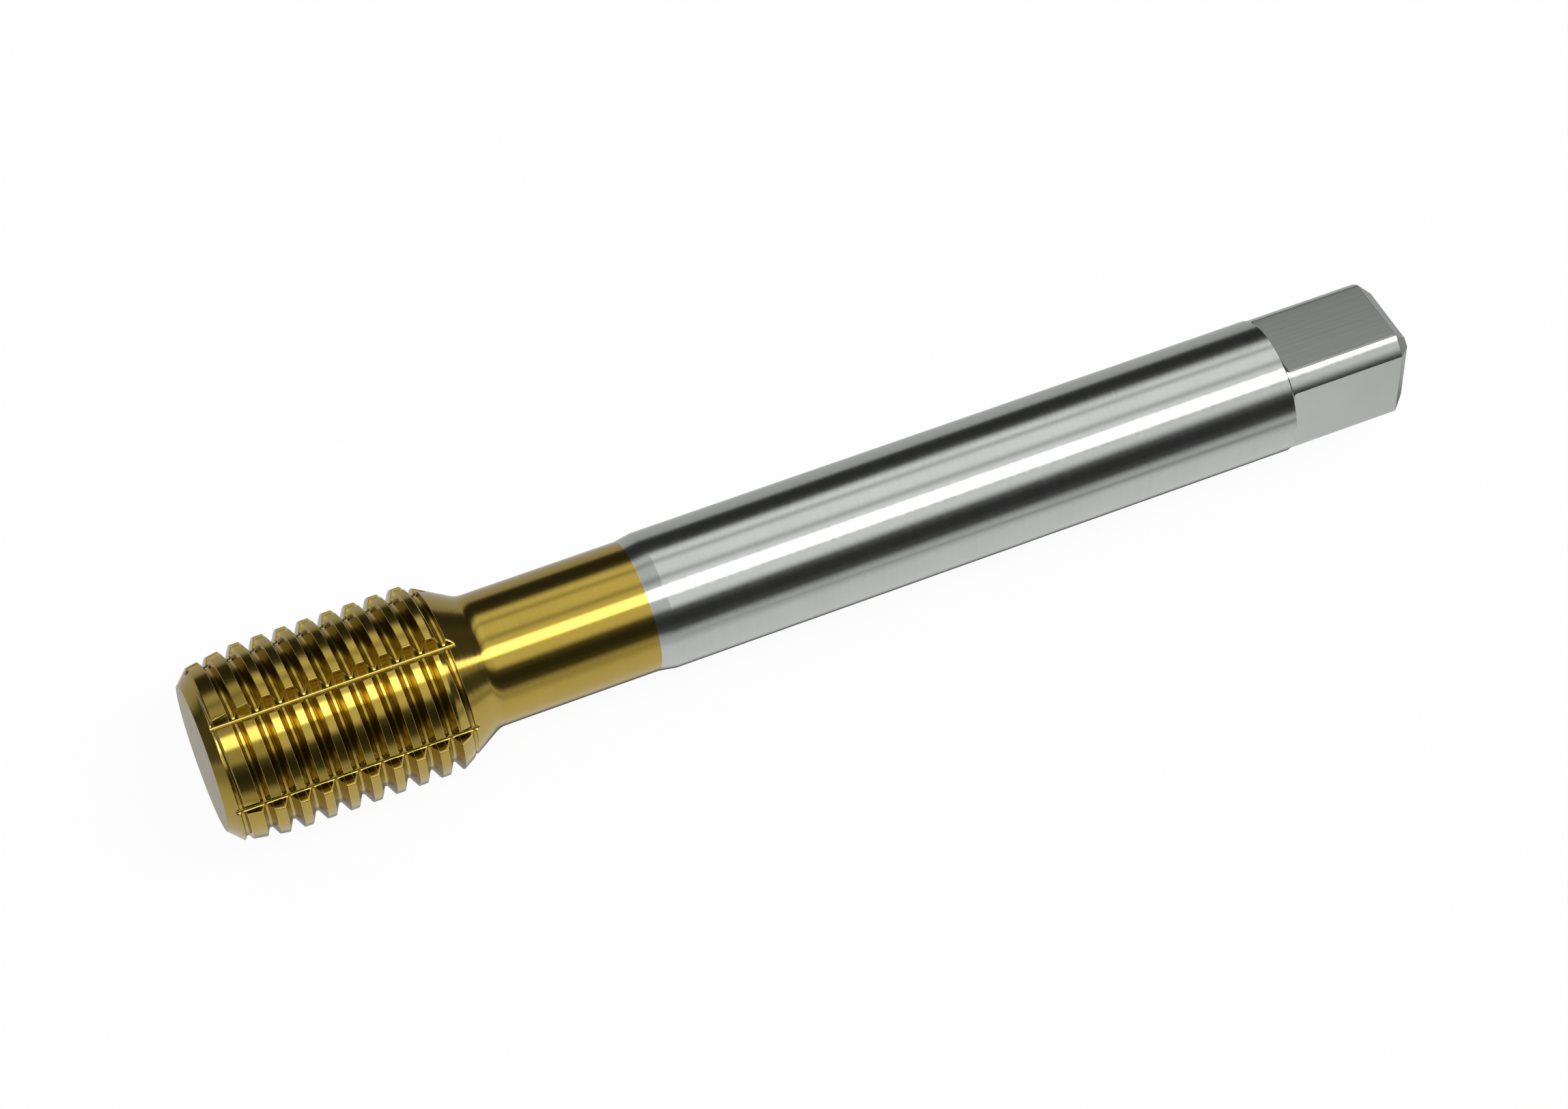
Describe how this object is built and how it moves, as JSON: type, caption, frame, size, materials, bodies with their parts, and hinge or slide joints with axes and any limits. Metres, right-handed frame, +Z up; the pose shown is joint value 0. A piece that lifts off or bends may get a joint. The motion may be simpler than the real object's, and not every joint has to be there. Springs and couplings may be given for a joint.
{
  "type": "thread tap",
  "caption": "Thread-forming tap with a coated threaded head crossed by straight oil grooves, a reduced neck, a round shank and a square drive end.",
  "frame": {"origin": "centre of the flat tip face, on the tool's axis", "axes": "+X along the tool's axis from the tip to the square end, +Z up with one oil groove pointing straight up and the opposite one straight down"},
  "size_m": [0.11, 0.0162, 0.0162],
  "materials": {
    "tap_steel": "ground and polished tool steel; the head and the neck carry a thin gold-coloured hard coating"
  },
  "bodies": {
    "root": {"thread_tap": "tap_steel"}
  },
  "joints": []
}
